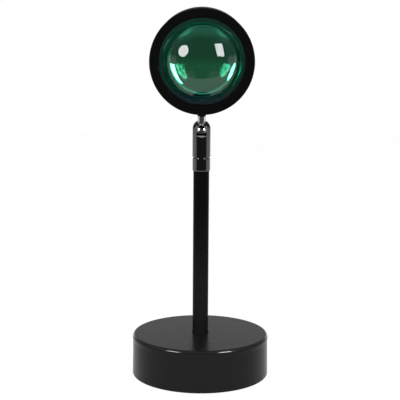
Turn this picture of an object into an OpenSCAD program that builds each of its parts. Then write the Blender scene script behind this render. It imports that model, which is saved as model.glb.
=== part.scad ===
// Sunset projection lamp: a weighted round base, a slim pole, a slotted ball
// swivel and a round head with a thick domed lens.
// Millimetres. Z is up, the table is z = 0, and the lens looks along -Y.

/* [Base] */
// Diameter of the base at its foot
base_d = 96.4; // [88:0.1:110]
// Height of the base's flat top above the table
base_h = 29.2; // [28:0.1:40]
// How far the side wall leans in from foot to top
base_lean = 0.8; // [0:0.1:2]
// Radius of the rounded top edge
base_edge_r = 2; // [1.4:0.1:4]
// Thickness of the drawn steel shell
shell_wall = 1.2; // [0.8:0.1:1.3]
// Gap between the shell's rim and the table
rim_lift = 0.4; // [0.3:0.1:1.2]
// Thickness of the foam foot pad
pad_t = 1.8; // [1.8:0.1:2.4]
// How far the pad stays inside the bottom plate's edge
pad_inset = 1.5; // [0.5:0.5:5]
// Thickness of the bottom plate
plate_t = 1.5; // [1.2:0.1:2]
// Thickness of the cast weight's disc
weight_t = 8; // [5:0.5:9]
// Diameter of the weight's three screw posts
post_d = 8; // [6:0.5:12]
// Diameter of the circle that the posts stand on
post_circle_d = 62; // [44:1:70]
// Thread diameter of the plate screws
plate_screw_d = 3; // [2.5:0.1:4]
// Length of the plate screws under the head
plate_screw_l = 9; // [6:0.5:12]

/* [Cord inlet] */
// Bore of the rubber grommet that the supply lead goes through
inlet_bore_d = 3.6; // [3:0.1:4.6]
// Diameter of the grommet's waist
inlet_waist_d = 6.4; // [6:0.1:8]
// Diameter of the grommet's two flanges
inlet_flange_d = 9.2; // [8.6:0.1:10]
// Thickness of each flange
inlet_flange_t = 1.4; // [1:0.1:2]
// Height of the inlet above the table
inlet_z = 10; // [9.6:0.1:12]

/* [Pole] */
// Outside diameter of the pole
pole_d = 11.1; // [10.2:0.1:11.6]
// Length of the pole
pole_l = 114.8; // [60:0.1:180]
// Thickness of the washer between the pole and the base
foot_ring_t = 0.8; // [0.5:0.1:2]
// Diameter of that washer
foot_ring_d = 11.8; // [11.6:0.1:16]
// Outside diameter of the two hollow threaded nipples
nipple_d = 8; // [7.4:0.1:8.4]
// Bore of the nipples
nipple_bore_d = 5.2; // [4:0.1:5.8]
// Length of nipple that is screwed into the pole at each end
nipple_grip = 10; // [6:0.5:20]
// Length of nipple that is screwed into the coupling
coupling_grip = 6.5; // [5:0.1:7]
// Width of the clamping nut across its flats
pole_nut_af = 13; // [12:0.5:15]
// Thickness of the clamping nut
pole_nut_t = 4; // [3:0.1:5]
// Thickness of the washer on that nut
pole_washer_t = 1.1; // [0.8:0.1:2]

/* [Swivel] */
// Outside diameter of the coupling on top of the pole
coupling_d = 12.4; // [11.8:0.1:13.2]
// Height of the coupling's outer sleeve
coupling_l = 9.2; // [8.5:0.1:14]
// Width of the groove between the coupling and the socket
swivel_gap = 0.6; // [0.4:0.1:1]
// Outside diameter of the slotted socket
socket_d = 12.6; // [12.4:0.1:13.4]
// Height of the dome's centre above the ball's centre
dome_rise = 1.9; // [0:0.1:2.5]
// Height of the ball's centre above the coupling
ball_rise = 18.9; // [18.6:0.1:24]
// Diameter of the ball
ball_d = 9.8; // [9:0.1:9.9]
// Diameter of the neck above the ball
neck_d = 5.8; // [5:0.1:5.9]
// Length of the neck, from the ball's centre to its shoulder
neck_l = 10.4; // [9.4:0.1:14]
// Width of the socket's slot
slot_w = 7; // [6.6:0.1:7.2]
// How far the slot reaches below the ball's centre
slot_drop = 3.4; // [3.2:0.1:4]
// Slope of the ramp at the slot's end, down from the level
slot_ramp_angle = 45; // [20:1:60]
// Diameter of the coupling's spigot, which the socket turns on
spigot_d = 9.8; // [9.2:0.1:9.9]
// Height of the spigot above the coupling's sleeve
spigot_l = 10; // [9:0.1:10.4]
// Height of the snap ring above the coupling's sleeve
clip_rise = 4.6; // [3:0.1:7]
// Thickness of the snap ring
clip_t = 1; // [0.7:0.1:1.4]
// Bore for the lead through the swivel
lead_bore_d = 3.4; // [2.8:0.1:3.8]

/* [Head] */
// Outside diameter of the head
head_d = 69; // [68:0.5:80]
// How far the head is tipped down from the level
head_tip = 6; // [0:0.5:12]
// Distance from the neck's shoulder to the head's outer wall
boss_l = 4.5; // [2:0.1:8]
// Distance from the stud to the bezel's front face
front_l = 30; // [29:0.5:40]
// Distance from the stud to the rear end of the barrel
rear_l = 12; // [11.5:0.1:18]
// Thickness of the barrel's wall
barrel_wall = 3; // [2.5:0.1:3.5]
// Height of the bezel's outer rim along the head
bezel_rim_l = 6; // [4.5:0.1:7]
// Width of the bezel's flat face, from the head's outside to the opening
bezel_face_w = 6.1; // [5.2:0.1:9]
// Thickness of the bezel's lip in front of the lens
bezel_lip_t = 2.5; // [1.5:0.1:3.5]
// Depth of the chamfer round the bezel's opening
bezel_chamfer = 0.8; // [0.3:0.1:1.4]

/* [Lens] */
// How far the bezel's lip reaches over the lens flange
lens_lap = 1.3; // [1:0.1:1.6]
// Thickness of the lens flange
lens_flange_t = 3; // [2:0.1:4]
// Width of the flat rim that shows between the opening and the dome
rim_show = 2.6; // [1:0.1:5]
// Height of the dome above the flange
dome_h = 14; // [8:0.5:22]
// Thickness of the rubber ring behind the lens
gasket_t = 1.5; // [1:0.1:2.5]

/* [Light engine] */
// Diameter of the LED's board
board_d = 24; // [22:0.5:26]
// Thickness of the LED's board
board_t = 1.6; // [1:0.1:2]
// Diameter of the small condenser lens
condenser_d = 22; // [21:0.5:24]
// Height of the condenser lens's dome
condenser_h = 5; // [3:0.5:6]
// Distance from the stud to the face that the board is fixed to
sink_face = 6; // [5.6:0.1:8]
// Distance that the condenser's holder reaches in front of the stud
holder_front = 3; // [2:0.1:4]

/* [Heat sink] */
// How far the cooling fins stay inside the barrel's outside
fin_inset = 3.5; // [2:0.1:6]
// Thickness of a fin
fin_t = 2; // [1.2:0.1:3]
// Gap between two fins
fin_gap = 2.4; // [1.5:0.1:4]
// Number of fins
fin_count = 3; // [2:1:5]
// Diameter of the core that carries the fins
core_d = 26; // [22:1:30]
// Thickness of the flange that closes the barrel
sink_flange_t = 2; // [1.5:0.1:4]
// Thickness of the rear cover
cover_t = 3.4; // [2.5:0.1:6]
// Number of air slots in the rear cover
vent_count = 12; // [6:1:16]

/* [Fits] */
// Clearance round a piece that is screwed or pushed into another
fit = 0.05; // [0.04:0.01:0.1]
// Running clearance between parts that turn
run_fit = 0.1; // [0.08:0.01:0.14]

/* [Hidden] */
$fn = 96;
eps = 0.01;         // overshoot of a cutter past the face that it leaves

black = [0.06, 0.06, 0.065];
satin = [0.11, 0.11, 0.115];
gunmetal = [0.34, 0.34, 0.36];
chrome = [0.82, 0.82, 0.84];
steel = [0.6, 0.6, 0.62];
iron = [0.3, 0.29, 0.28];
brass = [0.75, 0.6, 0.3];
rubber = [0.09, 0.09, 0.09];
nylon = [0.9, 0.89, 0.84];
coated_glass = [0.08, 0.36, 0.27, 0.6];
clear_glass = [0.8, 0.9, 0.9, 0.4];
phosphor = [0.85, 0.8, 0.25];

// Heights up the stand
plate_z = pad_t;
shell_top_r = base_d / 2 - base_lean;
roof_z = base_h - shell_wall;
weight_z = roof_z - fit - weight_t;
pole_z = base_h + foot_ring_t;
coupling_z = pole_z + pole_l;
socket_z = coupling_z + coupling_l + swivel_gap;
ball_z = coupling_z + coupling_l + ball_rise;
head_z = ball_z + neck_l + boss_l + head_d / 2;

// Smaller sizes of the base
weight_side_gap = 1.2;      // free space between the casting and the shell's wall
weight_top_gap = 0.6;       // the same at the shell's rounded corner
plate_side_gap = 0.6;       // gap between the bottom plate and the shell
screw_hole_play = 0.4;      // added to a screw's diameter where it passes freely
screw_head_w = plate_screw_d * 1.9;
screw_head_t = plate_screw_d * 0.42;
pad_hole_play = 1.6;        // added to a screw head's diameter in the pad
grommet_taper = 1.4;        // how much narrower the outer flange is at its face
nipple_tail = 2;            // threads left over below the clamping nut
washer_rim = 1.5;           // how far the pole's washer stands out round its nut

// Smaller sizes of the swivel
slot_lip = 0.25;            // flat left between the bore and the ramp at the slot's end
seat_rim_gap = 0.1;         // the seat's rim lies below the slot's end by this
swivel_edge = 0.35;         // bevel at the ends of the coupling and of the socket
neck_edge = 0.4;            // height of the bevel on the neck's shoulder
clip_bite = 0.6;            // depth of the snap ring in the spigot
clip_stand = 0.45;          // depth of the snap ring in the socket
clip_mouth = 2.4;           // gap between the snap ring's ends
coupling_bore_d = lead_bore_d + 0.8;
stud_bore_d = lead_bore_d - 0.6;
stud_flare = 1.6;           // widening of the stud's bore at the ball
stud_flare_l = 2.2;
spring_t = 0.5;
spring_rise = 0.7;
spring_rim = 0.6;           // the washers' hole is larger than the lead's bore by this, a side
bore_top_drop = 4;          // the ball's and the seat's bores overlap between these two depths
bore_low_drop = 5;

// Smaller sizes inside the head
barrel_edge = 0.8;          // bevel at the barrel's rear end
cone_collar_l = 5;          // length of the light cone's front collar
seat_rib_t = 2.5;           // thickness of the barrel's inner rib
seat_rib_lap = 2.2;         // how far the rib reaches in under the cone's collar
barrel_bore_r = head_d / 2 - barrel_wall;
skirt_wall = 1.8;
skirt_gap = 1.2;            // gap between the bezel's skirt and the barrel's rib
lens_gap = 0.2;             // play round the lens in its bezel
opening_r = head_d / 2 - bezel_face_w;
lens_d = 2 * (opening_r + lens_lap);
dome_d = 2 * (opening_r - rim_show);
thread_r = lens_d / 2 + lens_gap + skirt_wall;
seat_rib_r = lens_d / 2 - seat_rib_lap;
fin_d = head_d - 2 * fin_inset;
bezel_edge_r = 0.8;         // rounding of the bezel's outer edge
gasket_w = 3;               // width of the rubber ring
cone_wall = 1.2;
cone_gap = 0.2;             // gap between the cone and the rib's hole
cone_step = 1;              // straight part of the cone behind its collar
cone_back_play = 1;         // the cone is wider than the condenser by this, a side
cone_lip = 1.4;             // how far the cone's rear lip reaches over the condenser's flange
holder_wall = 2.4;
holder_shelf = 1.6;         // flange of the condenser lens plus its clearance
holder_ledge = 1.5;         // width of the ledge under that flange
holder_notch_w = 4;         // way through the holder for the lead
holder_notch_h = 3.4;
condenser_rim = 2;          // width of the condenser's flange
stud_thread_d = 4.4;
stud_tail = 6;              // length of stud inside the barrel
boss_foot_step = 0.7;       // the neck's top face is narrower than the neck by this
boss_flare = 2;             // and wider by this at the barrel
boss_sink = 0.6;            // overlap of the boss and the barrel
pad_boss_d = 11;            // flat that the stud's nut is tightened on
pad_boss_l = 0.9;
stud_washer_t = 0.8;
stud_washer_rim = 0.6;
stud_nut_af = 7.2;
stud_nut_t = 2.8;
board_notch_d = 3.2;        // round notches of the board's star outline
board_notch_count = 6;
board_screw_x = 7.2;
board_screw_d = 2;
board_screw_l = 4;          // thread in the core
board_screw_head = board_screw_d * 1.9;
board_screw_head_t = 1.1;
emitter_w = 5;
emitter_t = 0.8;
emitter_dome_d = 4.2;
fin_edge = 0.4;             // bevel on a fin's rim
sink_flange_rim = 1.5;      // the flange stands out past the fins by this
cover_screw_circle_r = 8.6;
cover_screw_d = 2.5;
cover_screw_head = cover_screw_d * 1.9;
cover_screw_sink = 1.5;     // depth of the counterbore under a cover screw's head
cover_screw_l = 5;          // thread in the core
cover_edge_r = 1.6;
screw_tip_gap = 0.4;        // free depth past the tip of a screw
vent_w = 2.4;
vent_in = core_d / 2 + 2.5;
vent_out = fin_d / 2 - 6;

// Distances along the head, from the stud towards the lens
rim_back = front_l - bezel_rim_l;
lens_front = front_l - bezel_lip_t - fit;
lens_back = lens_front - lens_flange_t;
gasket_back = lens_back - gasket_t - fit;
seat_face = gasket_back - fit - cone_collar_l;
barrel_back = -rear_l;
sink_back = barrel_back - sink_flange_t;
core_back = sink_back - fin_count * (fin_t + fin_gap) - fin_gap / 2;
cover_back = core_back - cover_t;
skirt_back = seat_face + skirt_gap;
stud_top = neck_l + boss_l + barrel_wall + stud_tail;
holder_r = condenser_d / 2 + holder_wall;

// Radius of the shell's outside at height z, on its leaning wall.
function wall_r(z) = base_d / 2 - base_lean * (z - rim_lift) / (base_h - rim_lift);

// Tips its children down about the ball's centre: the head, its neck and the ball.
module tipped() translate([0, 0, ball_z]) rotate([head_tip, 0, 0]) translate([0, 0, -ball_z]) children();

// Places its children on the head's axis, before it is tipped: their +Z points out of the lens.
module on_head() translate([0, 0, head_z]) rotate([90, 0, 0]) children();

// A ring between two radii, from z0 to z1.
module ring(r_in, r_out, z0, z1) {
    difference() {
        translate([0, 0, z0]) cylinder(r = r_out, h = z1 - z0);
        translate([0, 0, z0 - 1]) cylinder(r = r_in, h = z1 - z0 + 2);
    }
}

// A hexagonal nut, bored through.
module hex_nut(across_flats, bore, t) {
    difference() {
        cylinder(d = across_flats / cos(30), h = t, $fn = 6);
        translate([0, 0, -1]) cylinder(d = bore, h = t + 2);
    }
}

// A pan-head screw that points along +Z, with its cross recess; z = 0 is under its head.
module pan_screw(d, l, head_w, head_t) {
    cross_w = d * 0.28;
    difference() {
        union() {
            cylinder(d = d, h = l);
            translate([0, 0, -head_t]) cylinder(d1 = head_w * 0.78, d2 = head_w, h = head_t * 0.45);
            translate([0, 0, -head_t * 0.55]) cylinder(d = head_w, h = head_t * 0.55);
        }
        for (a = [0, 90]) rotate([0, 0, a])
            translate([-d / 2, -cross_w / 2, -head_t - eps]) cube([d, cross_w, head_t * 0.6]);
    }
}

// Places its children at each of the three post positions.
module at_posts() for (a = [30, 150, 270])
    rotate([0, 0, a]) translate([post_circle_d / 2, 0, 0]) children();

// ---- base ----

// Half outline of the leaning cup, offset inwards by t, from height z0 up.
module cup_outline(t, z0) {
    corner_r = base_edge_r - t;
    corner_x = shell_top_r - base_edge_r;
    corner_z = base_h - base_edge_r;
    polygon([
        [0, z0], [wall_r(z0) - t, z0], [corner_x + corner_r, corner_z], [corner_x, corner_z],
        [corner_x, corner_z + corner_r], [0, corner_z + corner_r]
    ]);
    translate([corner_x, corner_z]) circle(r = corner_r);
}

module base_shell() {
    color(satin) difference() {
        rotate_extrude() cup_outline(0, rim_lift);
        rotate_extrude() cup_outline(shell_wall, rim_lift - 1);
        translate([0, 0, roof_z - 1]) cylinder(d = nipple_d + 2 * fit, h = shell_wall + 2);
        translate([0, base_d / 2 - 8, inlet_z]) rotate([-90, 0, 0])
            cylinder(d = inlet_waist_d + 2 * fit, h = 12);
    }
}

module base_weight() {
    post_z = plate_z + plate_t + fit;
    color(iron) difference() {
        union() {
            translate([0, 0, weight_z]) cylinder(
                r1 = wall_r(weight_z) - shell_wall - weight_side_gap,
                r2 = shell_top_r - base_edge_r - weight_top_gap, h = weight_t);
            at_posts() translate([0, 0, post_z]) cylinder(d = post_d, h = weight_z - post_z + 1);
        }
        translate([0, 0, weight_z - 1]) cylinder(d = nipple_d + 2 * fit, h = weight_t + 2);
        at_posts() translate([0, 0, post_z - 1])
            cylinder(d = plate_screw_d + 2 * fit, h = plate_screw_l + 1);
    }
}

plate_r = wall_r(rim_lift) - shell_wall - plate_side_gap;

module base_plate() {
    color(black) difference() {
        translate([0, 0, plate_z]) cylinder(r = plate_r, h = plate_t);
        at_posts() translate([0, 0, plate_z - 1])
            cylinder(d = plate_screw_d + screw_hole_play, h = plate_t + 2);
    }
}

module foot_pad() {
    color(rubber) difference() {
        cylinder(r = plate_r - pad_inset, h = pad_t);
        at_posts() translate([0, 0, -1]) cylinder(d = screw_head_w + pad_hole_play, h = pad_t + 2);
    }
}

module plate_screws() {
    color(steel) at_posts() translate([0, 0, plate_z])
        pan_screw(plate_screw_d, plate_t + plate_screw_l - screw_tip_gap, screw_head_w, screw_head_t);
}

// The grommet's flanges stand just off the curved, leaning wall: each face is set by the
// point of the wall that comes nearest to it.
inlet_in = sqrt(pow(wall_r(inlet_z + inlet_flange_d / 2) - shell_wall, 2) - pow(inlet_flange_d / 2, 2)) - fit;
inlet_out = wall_r(inlet_z - inlet_flange_d / 2) + fit;

module cord_grommet() {
    color(rubber) translate([0, 0, inlet_z]) rotate([-90, 0, 0]) difference() {
        union() {
            translate([0, 0, inlet_in - inlet_flange_t])
                cylinder(d = inlet_waist_d, h = inlet_out - inlet_in + 2 * inlet_flange_t);
            translate([0, 0, inlet_in - inlet_flange_t]) cylinder(d = inlet_flange_d, h = inlet_flange_t);
            translate([0, 0, inlet_out])
                cylinder(d1 = inlet_flange_d, d2 = inlet_flange_d - grommet_taper, h = inlet_flange_t);
        }
        translate([0, 0, inlet_in - inlet_flange_t - 1])
            cylinder(d = inlet_bore_d, h = inlet_out - inlet_in + 2 * inlet_flange_t + 2);
    }
}

// ---- pole ----

module pole_foot_ring() color(black) ring(nipple_d / 2 + fit, foot_ring_d / 2, base_h, pole_z);

module pole_tube() color(black) ring(nipple_d / 2 + fit, pole_d / 2, pole_z, coupling_z);

module lower_nipple() color(steel)
    ring(nipple_bore_d / 2, nipple_d / 2,
         weight_z - pole_washer_t - pole_nut_t - nipple_tail, pole_z + nipple_grip);

module pole_washer() color(steel)
    ring(nipple_d / 2 + fit, pole_nut_af / 2 + washer_rim, weight_z - fit - pole_washer_t, weight_z - fit);

module pole_nut() color(steel) translate([0, 0, weight_z - 2 * fit - pole_washer_t - pole_nut_t])
    hex_nut(pole_nut_af, nipple_d + 2 * fit, pole_nut_t);

module upper_nipple() color(steel)
    ring(nipple_bore_d / 2, nipple_d / 2, coupling_z - nipple_grip, coupling_z + coupling_grip);

// ---- swivel ----

spigot_top = coupling_z + coupling_l + spigot_l;
clip_z = coupling_z + coupling_l + clip_rise;
clip_in_r = spigot_d / 2 - clip_bite;
clip_out_r = spigot_d / 2 + clip_stand;

module swivel_coupling() {
    sleeve_top = coupling_z + coupling_l;
    sleeve_r = coupling_d / 2;
    outline = [
        [0, coupling_z], [sleeve_r - swivel_edge, coupling_z], [sleeve_r, coupling_z + swivel_edge],
        [sleeve_r, sleeve_top - swivel_edge], [sleeve_r - swivel_edge, sleeve_top],
        [spigot_d / 2, sleeve_top], [spigot_d / 2, spigot_top], [0, spigot_top]
    ];
    color(gunmetal) difference() {
        rotate_extrude() polygon(outline);
        translate([0, 0, coupling_z - 1]) cylinder(d = nipple_d + 2 * fit, h = coupling_grip + fit + 1);
        translate([0, 0, coupling_z]) cylinder(d = coupling_bore_d, h = spigot_top);
        ring(clip_in_r - fit, spigot_d, clip_z - fit, clip_z + clip_t + fit);
    }
}

module snap_ring() {
    color(steel) difference() {
        ring(clip_in_r, clip_out_r, clip_z, clip_z + clip_t);
        translate([0, -clip_mouth / 2, clip_z - 1]) cube([spigot_d, clip_mouth, clip_t + 2]);
    }
}

socket_bore_r = ball_d / 2 + run_fit;

module swivel_socket() {
    color(gunmetal) difference() {
        union() {
            translate([0, 0, socket_z])
                cylinder(d1 = socket_d - 2 * swivel_edge, d2 = socket_d, h = swivel_edge);
            translate([0, 0, socket_z + swivel_edge])
                cylinder(d = socket_d, h = ball_z + dome_rise - socket_z - swivel_edge);
            intersection() {
                translate([0, 0, ball_z + dome_rise]) sphere(d = socket_d);
                translate([0, 0, ball_z + dome_rise]) cylinder(d = socket_d + 1, h = socket_d);
            }
        }
        // Seat of the ball, and the bore that the ball and its seat go in by
        translate([0, 0, ball_z]) sphere(r = socket_bore_r);
        translate([0, 0, ball_z - bore_low_drop]) cylinder(r = socket_bore_r, h = bore_low_drop);
        translate([0, 0, spigot_top - eps])
            cylinder(r = socket_bore_r, h = ball_z - bore_top_drop - spigot_top);
        translate([0, 0, socket_z - 1]) cylinder(d = spigot_d + 2 * run_fit, h = spigot_top - socket_z + 1);
        // Groove that the snap ring runs in
        translate([0, 0, clip_z - run_fit]) cylinder(r = clip_out_r + run_fit, h = clip_t + 2 * run_fit);
        // Mouth in the dome and the slot that the neck folds into
        translate([0, 0, ball_z]) cylinder(d = slot_w, h = socket_d);
        translate([-slot_w / 2, -socket_d, ball_z - slot_drop]) cube([slot_w, socket_d, socket_d]);
        // Ramp from a narrow lip beside the bore down to the outside, at the slot's end
        translate([-slot_w / 2, -socket_bore_r - slot_lip, ball_z - slot_drop])
            rotate([slot_ramp_angle, 0, 0])
                translate([0, -socket_d, 0]) cube([slot_w, socket_d, socket_d / 2]);
    }
}

seat_top = ball_z - slot_drop - seat_rim_gap;
seat_bottom = spigot_top + 2 * (spring_t + spring_rise) + 4 * fit;

module ball_seat() {
    color(nylon) difference() {
        translate([0, 0, seat_bottom]) cylinder(r = socket_bore_r - fit, h = seat_top - seat_bottom);
        translate([0, 0, ball_z]) sphere(r = ball_d / 2 + run_fit);
        translate([0, 0, seat_bottom - 1]) cylinder(d = lead_bore_d, h = ball_rise);
    }
}

// One conical spring washer, z = 0 at its low edge.
module spring_washer(flip) {
    r_out = socket_bore_r - 2 * fit;
    r_in = lead_bore_d / 2 + spring_rim;
    low_in = flip ? 0 : spring_rise;
    low_out = flip ? spring_rise : 0;
    rotate_extrude() polygon([
        [r_in, low_in], [r_out, low_out], [r_out, low_out + spring_t], [r_in, low_in + spring_t]
    ]);
}

module spring_washers() {
    color(steel) {
        translate([0, 0, spigot_top + fit]) spring_washer(false);
        translate([0, 0, spigot_top + 3 * fit + spring_t + spring_rise]) spring_washer(true);
    }
}

module ball_stud() {
    color(chrome) difference() {
        union() {
            translate([0, 0, ball_z]) sphere(d = ball_d);
            translate([0, 0, ball_z]) cylinder(d = neck_d, h = neck_l - neck_edge);
            translate([0, 0, ball_z + neck_l - neck_edge])
                cylinder(d1 = neck_d, d2 = neck_d - boss_foot_step, h = neck_edge);
            translate([0, 0, ball_z]) cylinder(d = stud_thread_d, h = stud_top);
        }
        translate([0, 0, ball_z - ball_d]) cylinder(d = stud_bore_d, h = ball_d + stud_top + 1);
        translate([0, 0, ball_z - ball_d / 2 - eps])
            cylinder(d1 = stud_bore_d + stud_flare, d2 = stud_bore_d, h = stud_flare_l);
    }
}

// ---- head ----

module head_barrel() {
    color(black) difference() {
        union() {
            on_head() difference() {
                rotate_extrude() polygon([
                    [0, barrel_back], [head_d / 2 - barrel_edge, barrel_back],
                    [head_d / 2, barrel_back + barrel_edge], [head_d / 2, rim_back - fit], [0, rim_back - fit]
                ]);
                translate([0, 0, barrel_back - 1])
                    cylinder(r = barrel_bore_r, h = seat_face - seat_rib_t - barrel_back + 1);
                translate([0, 0, barrel_back]) cylinder(r = seat_rib_r, h = front_l - barrel_back);
                translate([0, 0, seat_face]) cylinder(r = thread_r + fit, h = front_l);
            }
            // Boss that stands on the neck, and the flat inside for its nut
            translate([0, 0, ball_z + neck_l])
                cylinder(d1 = neck_d, d2 = neck_d + boss_flare, h = boss_l + boss_sink);
            translate([0, 0, head_z - barrel_bore_r - 1]) cylinder(d = pad_boss_d, h = 1 + pad_boss_l);
        }
        translate([0, 0, ball_z + neck_l - 1])
            cylinder(d = stud_thread_d + 2 * run_fit, h = stud_top - neck_l + 2);
    }
}

module front_bezel() {
    outer = head_d / 2;
    pocket_r = lens_d / 2 + lens_gap;
    round_z = front_l - bezel_edge_r;
    color(black) on_head() rotate_extrude() {
        polygon([
            [pocket_r, skirt_back], [thread_r, skirt_back], [thread_r, rim_back], [outer, rim_back],
            [outer, round_z], [outer - bezel_edge_r, round_z], [outer - bezel_edge_r, front_l],
            [opening_r + bezel_chamfer, front_l], [opening_r, front_l - bezel_chamfer],
            [opening_r, front_l - bezel_lip_t], [pocket_r, front_l - bezel_lip_t]
        ]);
        translate([outer - bezel_edge_r, round_z]) circle(r = bezel_edge_r);
    }
}

// A plano-convex lens: a flat flange, and a ball's cap of width cap_d and height h.
module domed_lens(d, flange_t, cap_d, h) {
    ball_r = (pow(cap_d / 2, 2) + h * h) / (2 * h);
    cylinder(d = d, h = flange_t);
    intersection() {
        translate([0, 0, flange_t + h - ball_r]) sphere(r = ball_r, $fn = 128);
        translate([0, 0, flange_t - eps]) cylinder(d = cap_d, h = h + 1);
    }
}

module lens() color(coated_glass) on_head()
    translate([0, 0, lens_back]) domed_lens(lens_d, lens_flange_t, dome_d, dome_h);

module lens_gasket() color(rubber) on_head()
    ring(lens_d / 2 - gasket_w, lens_d / 2, gasket_back + fit, lens_back - fit);

cone_front_r = seat_rib_r - cone_gap;
cone_back = holder_front + fit;
cone_back_r = condenser_d / 2 + cone_back_play;

module light_cone() {
    lip_r = condenser_d / 2 - cone_lip;
    color(black) on_head() rotate_extrude() polygon([
        [cone_front_r - cone_wall, seat_face + cone_collar_l], [lens_d / 2, seat_face + cone_collar_l],
        [lens_d / 2, seat_face + fit], [cone_front_r, seat_face + fit],
        [cone_front_r, seat_face - cone_step],
        [cone_back_r + cone_wall, cone_back], [lip_r, cone_back], [lip_r, cone_back + cone_wall],
        [cone_back_r, cone_back + cone_wall], [cone_front_r - cone_wall, seat_face - cone_step + cone_wall]
    ]);
}

module condenser_lens() color(clear_glass) on_head()
    translate([0, 0, holder_front - holder_shelf + fit])
        domed_lens(condenser_d, holder_shelf - 2 * fit, condenser_d - 2 * condenser_rim, condenser_h);

module condenser_holder() {
    color(black) on_head() difference() {
        translate([0, 0, -sink_face + fit]) cylinder(r = holder_r, h = holder_front + sink_face - fit);
        translate([0, 0, -sink_face - 1])
            cylinder(r = condenser_d / 2 - holder_ledge, h = sink_face + holder_front + 2);
        translate([0, 0, holder_front - holder_shelf])
            cylinder(r = condenser_d / 2 + fit, h = holder_shelf + 1);
        translate([0, 0, -sink_face - 1]) cylinder(r = board_d / 2 + fit, h = 1 + board_t + 3 * fit);
        translate([-holder_notch_w / 2, -holder_r - 1, -sink_face - 1])
            cube([holder_notch_w, holder_wall + holder_ledge + 1, 1 + holder_notch_h]);
    }
}

module led_board() {
    color(nylon) on_head() translate([0, 0, -sink_face + fit]) difference() {
        cylinder(d = board_d, h = board_t);
        for (s = [-1, 1]) translate([s * board_screw_x, 0, -1])
            cylinder(d = board_screw_d + screw_hole_play, h = board_t + 2);
        for (i = [0:board_notch_count - 1]) rotate([0, 0, (i + 0.5) * 360 / board_notch_count])
            translate([board_d / 2, 0, -1]) cylinder(d = board_notch_d, h = board_t + 2);
    }
}

module led_emitter() {
    color(phosphor) on_head() translate([0, 0, -sink_face + board_t + 2 * fit]) {
        translate([-emitter_w / 2, -emitter_w / 2, 0]) cube([emitter_w, emitter_w, emitter_t]);
        intersection() {
            translate([0, 0, emitter_t]) sphere(d = emitter_dome_d);
            translate([0, 0, emitter_t / 2]) cylinder(d = emitter_w, h = emitter_w);
        }
    }
}

module board_screws() {
    color(steel) on_head() for (s = [-1, 1])
        translate([s * board_screw_x, 0, -sink_face + board_t + 2 * fit])
            rotate([180, 0, 0])
                pan_screw(board_screw_d, board_t + board_screw_l, board_screw_head, board_screw_head_t);
}

module heat_sink() {
    board_hole_l = board_screw_l + screw_tip_gap;
    color(black) on_head() difference() {
        union() {
            translate([0, 0, barrel_back - 1])
                cylinder(r = barrel_bore_r - fit, h = 1 - barrel_back - sink_face);
            translate([0, 0, sink_back]) cylinder(d = fin_d + 2 * sink_flange_rim, h = sink_flange_t - fit);
            translate([0, 0, core_back]) cylinder(d = core_d, h = sink_back - core_back + 1);
            for (i = [1:fin_count]) translate([0, 0, sink_back - i * (fin_t + fin_gap)]) fin();
        }
        for (s = [-1, 1]) translate([s * board_screw_x, 0, -sink_face - board_hole_l])
            cylinder(d = board_screw_d + 2 * fit, h = board_hole_l + 1);
        at_cover_screws() translate([0, 0, core_back - 1])
            cylinder(d = cover_screw_d + 2 * fit, h = 1 + cover_screw_l + screw_tip_gap);
    }
}

// One round cooling fin with softened edges.
module fin() {
    cylinder(d1 = fin_d - 2 * fin_edge, d2 = fin_d, h = fin_edge);
    translate([0, 0, fin_edge]) cylinder(d = fin_d, h = fin_t - 2 * fin_edge);
    translate([0, 0, fin_t - fin_edge]) cylinder(d1 = fin_d, d2 = fin_d - 2 * fin_edge, h = fin_edge);
}

module at_cover_screws() for (a = [30, 150, 270])
    rotate([0, 0, a]) translate([cover_screw_circle_r, 0, 0]) children();

module rear_cover() {
    round_r = fin_d / 2 - cover_edge_r;
    round_z = cover_back + cover_edge_r;
    color(black) on_head() difference() {
        rotate_extrude() {
            polygon([
                [0, cover_back], [round_r, cover_back], [round_r, round_z], [fin_d / 2, round_z],
                [fin_d / 2, core_back - fit], [0, core_back - fit]
            ]);
            translate([round_r, round_z]) circle(r = cover_edge_r);
        }
        for (i = [0:vent_count - 1]) rotate([0, 0, (i + 0.5) * 360 / vent_count]) {
            translate([vent_in, -vent_w / 2, cover_back - 1]) cube([vent_out - vent_in, vent_w, cover_t + 2]);
            for (r = [vent_in, vent_out]) translate([r, 0, cover_back - 1])
                cylinder(d = vent_w, h = cover_t + 2);
        }
        at_cover_screws() {
            translate([0, 0, cover_back - 1]) cylinder(d = cover_screw_d + screw_hole_play, h = cover_t + 2);
            translate([0, 0, cover_back - 1])
                cylinder(d = cover_screw_head + screw_hole_play, h = 1 + cover_screw_sink);
        }
    }
}

module cover_screws() {
    color(steel) on_head() at_cover_screws() translate([0, 0, cover_back + cover_screw_sink])
        pan_screw(cover_screw_d, cover_t - cover_screw_sink + cover_screw_l,
                  cover_screw_head, cover_screw_sink - 4 * fit);
}

nut_seat_z = head_z - barrel_bore_r + pad_boss_l;

module stud_washer() color(steel)
    ring(stud_thread_d / 2 + run_fit, pad_boss_d / 2 - stud_washer_rim,
         nut_seat_z + fit, nut_seat_z + fit + stud_washer_t);

module stud_nut() color(brass) translate([0, 0, nut_seat_z + 2 * fit + stud_washer_t])
    hex_nut(stud_nut_af, stud_thread_d + 2 * run_fit, stud_nut_t);

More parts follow.
